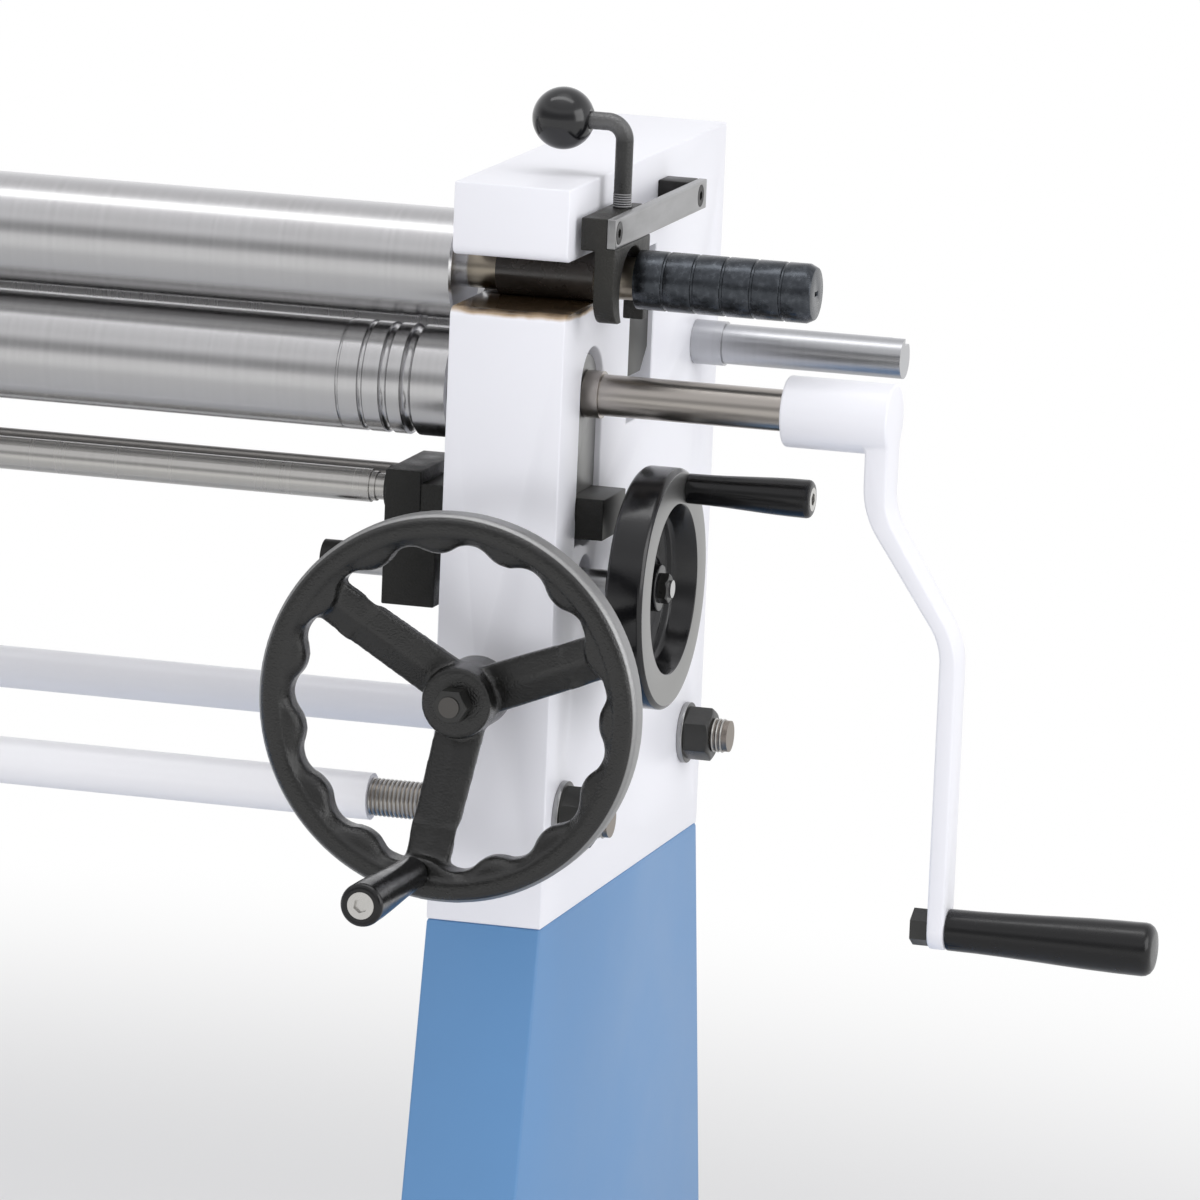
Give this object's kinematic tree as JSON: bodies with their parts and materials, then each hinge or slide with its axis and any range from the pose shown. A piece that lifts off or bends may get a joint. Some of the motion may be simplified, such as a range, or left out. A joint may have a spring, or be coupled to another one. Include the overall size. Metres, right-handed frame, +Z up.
{
  "type": "slip roll machine",
  "caption": "Hand-cranked slip roll on two stands: pinch rolls, a rear forming roll, a latch that frees the top roll's end, and handwheels that set the gaps.",
  "frame": {"origin": "on the floor, midway between the stands and midway front to rear of the housings", "axes": "+X along the rolls towards the crank, +Y to the rear, away from the operator, +Z up"},
  "size_m": [1.9546, 0.7408, 1.1585],
  "materials": {
    "stand_blue": "semi-gloss blue powder coat",
    "housing_white": "satin white paint with a faint grain",
    "tube_white": "semi-gloss white paint",
    "zinc_steel": "plated fasteners",
    "gear_iron": "machined, oiled",
    "roll_steel": "ground and lightly oiled",
    "dark_rod": "darkened steel",
    "bearing": "machined",
    "block_grey": "machined faces",
    "black_iron": "matt black paint",
    "latch_black": "blackened steel",
    "arm_steel": "ground flat bar",
    "ball_black": "polished ball knob",
    "grip_black": "moulded grips",
    "side_wheel_black": "black with a polished rim face",
    "wheel_black": "blackened cast wheel",
    "crank_white": "semi-gloss white paint"
  },
  "bodies": {
    "frame": {"foot_right": "stand_blue", "foot_left": "stand_blue", "stand_right": "stand_blue", "stand_left": "stand_blue", "housing_right": "housing_white", "housing_left": "housing_white", "tie_tube_front": "tube_white", "tie_tube_rear": "tube_white", "tie_studs": "zinc_steel", "tie_nuts": "latch_black", "gear_cover": "housing_white", "cover_screws": "zinc_steel", "latch_block": "latch_black", "latch_pin": "latch_black"},
    "top_gear": {"top_gear": "gear_iron"},
    "top_carrier": {"top_bush": "bearing", "top_swivel": "bearing"},
    "top_roll": {"top_roll": "roll_steel", "pull_grip": "grip_black"},
    "latch": {"latch_arm": "arm_steel", "latch_yoke": "latch_black", "latch_screw": "latch_black", "latch_lever": "latch_black", "latch_ball": "ball_black"},
    "lower_carriage": {"lower_block_right": "block_grey", "lower_block_left": "block_grey", "lift_block_right": "black_iron", "lift_block_left": "black_iron", "lift_bracket_right": "black_iron", "lift_bracket_left": "black_iron", "cross_rod": "roll_steel", "cross_rod_rear": "dark_rod"},
    "lower_roll": {"lower_roll": "roll_steel", "lower_gear": "gear_iron", "crank_arm": "crank_white", "crank_nut": "latch_black"},
    "crank_grip": {"crank_grip": "grip_black"},
    "side_wheel": {"side_wheel": "side_wheel_black", "side_shaft": "roll_steel", "side_collar": "latch_black", "side_nut": "latch_black", "side_spindle": "zinc_steel"},
    "side_grip": {"side_grip": "grip_black"},
    "rear_carriage": {"rear_block_right": "block_grey", "rear_block_left": "block_grey"},
    "rear_roll": {"rear_roll": "roll_steel"},
    "rear_shaft": {"rear_shaft": "roll_steel"},
    "front_wheel_right": {"wheel_right": "wheel_black", "screw_right": "roll_steel", "wheel_nut_right": "latch_black", "wheel_spindle_right": "zinc_steel"},
    "front_wheel_left": {"wheel_left": "wheel_black", "screw_left": "roll_steel", "wheel_nut_left": "latch_black", "wheel_spindle_left": "zinc_steel"},
    "wheel_grip_right": {"wheel_grip_right": "grip_black"},
    "wheel_grip_left": {"wheel_grip_left": "grip_black"}
  },
  "joints": [
    {"name": "latch_lift", "type": "hinge", "parent": "frame", "child": "latch", "pos_m": [0.744, 0.031, 1.0705], "axis": [-1, 0, 0], "range_deg": [0, 75]},
    {"name": "top_swing", "type": "hinge", "parent": "frame", "child": "top_carrier", "pos_m": [-0.69, -0.123, 1.0335], "axis": [0, 0, -1], "range_deg": [0, 4.02]},
    {"name": "top_spin", "type": "hinge", "parent": "top_carrier", "child": "top_roll", "pos_m": [0, -0.123, 1.0335], "axis": [1, 0, 0], "continuous": true},
    {"name": "top_gear_spin", "type": "hinge", "parent": "frame", "child": "top_gear", "pos_m": [-0.75, -0.123, 1.0335], "axis": [1, 0, 0], "continuous": true},
    {"name": "nip_lift", "type": "slide", "parent": "frame", "child": "lower_carriage", "axis": [0, 0, 1], "range_m": [-0.0051, 0.0047]},
    {"name": "lower_spin", "type": "hinge", "parent": "lower_carriage", "child": "lower_roll", "pos_m": [0, -0.123, 0.9535], "axis": [1, 0, 0], "continuous": true},
    {"name": "crank_grip_spin", "type": "hinge", "parent": "lower_roll", "child": "crank_grip", "pos_m": [1, -0.123, 0.6125], "axis": [1, 0, 0], "continuous": true},
    {"name": "side_turn", "type": "hinge", "parent": "lower_carriage", "child": "side_wheel", "pos_m": [0.75, -0.123, 0.826], "axis": [1, 0, 0], "range_deg": [-450, 415]},
    {"name": "side_grip_spin", "type": "hinge", "parent": "side_wheel", "child": "side_grip", "pos_m": [0.84, -0.09809, 0.89088], "axis": [1, 0, 0], "continuous": true},
    {"name": "rear_lift", "type": "slide", "parent": "frame", "child": "rear_carriage", "axis": [0, 0, 1], "range_m": [-0.0302, 0.0162]},
    {"name": "rear_spin", "type": "hinge", "parent": "rear_carriage", "child": "rear_roll", "pos_m": [0, -0.005, 0.985], "axis": [1, 0, 0], "continuous": true},
    {"name": "rear_shaft_spin", "type": "hinge", "parent": "frame", "child": "rear_shaft", "pos_m": [0, 0.137, 0.953], "axis": [1, 0, 0], "continuous": true},
    {"name": "wheel_right_turn", "type": "hinge", "parent": "frame", "child": "front_wheel_right", "pos_m": [0.69, -0.3, 0.766], "axis": [0, 1, 0], "range_deg": [-1800, 960]},
    {"name": "wheel_left_turn", "type": "hinge", "parent": "frame", "child": "front_wheel_left", "pos_m": [-0.69, -0.3, 0.766], "axis": [0, 1, 0], "range_deg": [-1801, 961]},
    {"name": "wheel_grip_right_spin", "type": "hinge", "parent": "front_wheel_right", "child": "wheel_grip_right", "pos_m": [0.67135, -0.35, 0.65455], "axis": [0, 1, 0], "continuous": true},
    {"name": "wheel_grip_left_spin", "type": "hinge", "parent": "front_wheel_left", "child": "wheel_grip_left", "pos_m": [-0.67135, -0.35, 0.65455], "axis": [0, 1, 0], "continuous": true}
  ],
  "couplings": [
    {"joint": "top_swing", "follows": "latch_lift", "ratio": 0.053333},
    {"joint": "top_spin", "follows": "lower_spin", "ratio": -1},
    {"joint": "top_gear_spin", "follows": "lower_spin", "ratio": -1},
    {"joint": "nip_lift", "follows": "side_turn", "m_per_rad": 0.00063662},
    {"joint": "rear_lift", "follows": "wheel_right_turn", "m_per_rad": 0.00095493},
    {"joint": "wheel_left_turn", "follows": "wheel_right_turn", "ratio": 1}
  ]
}
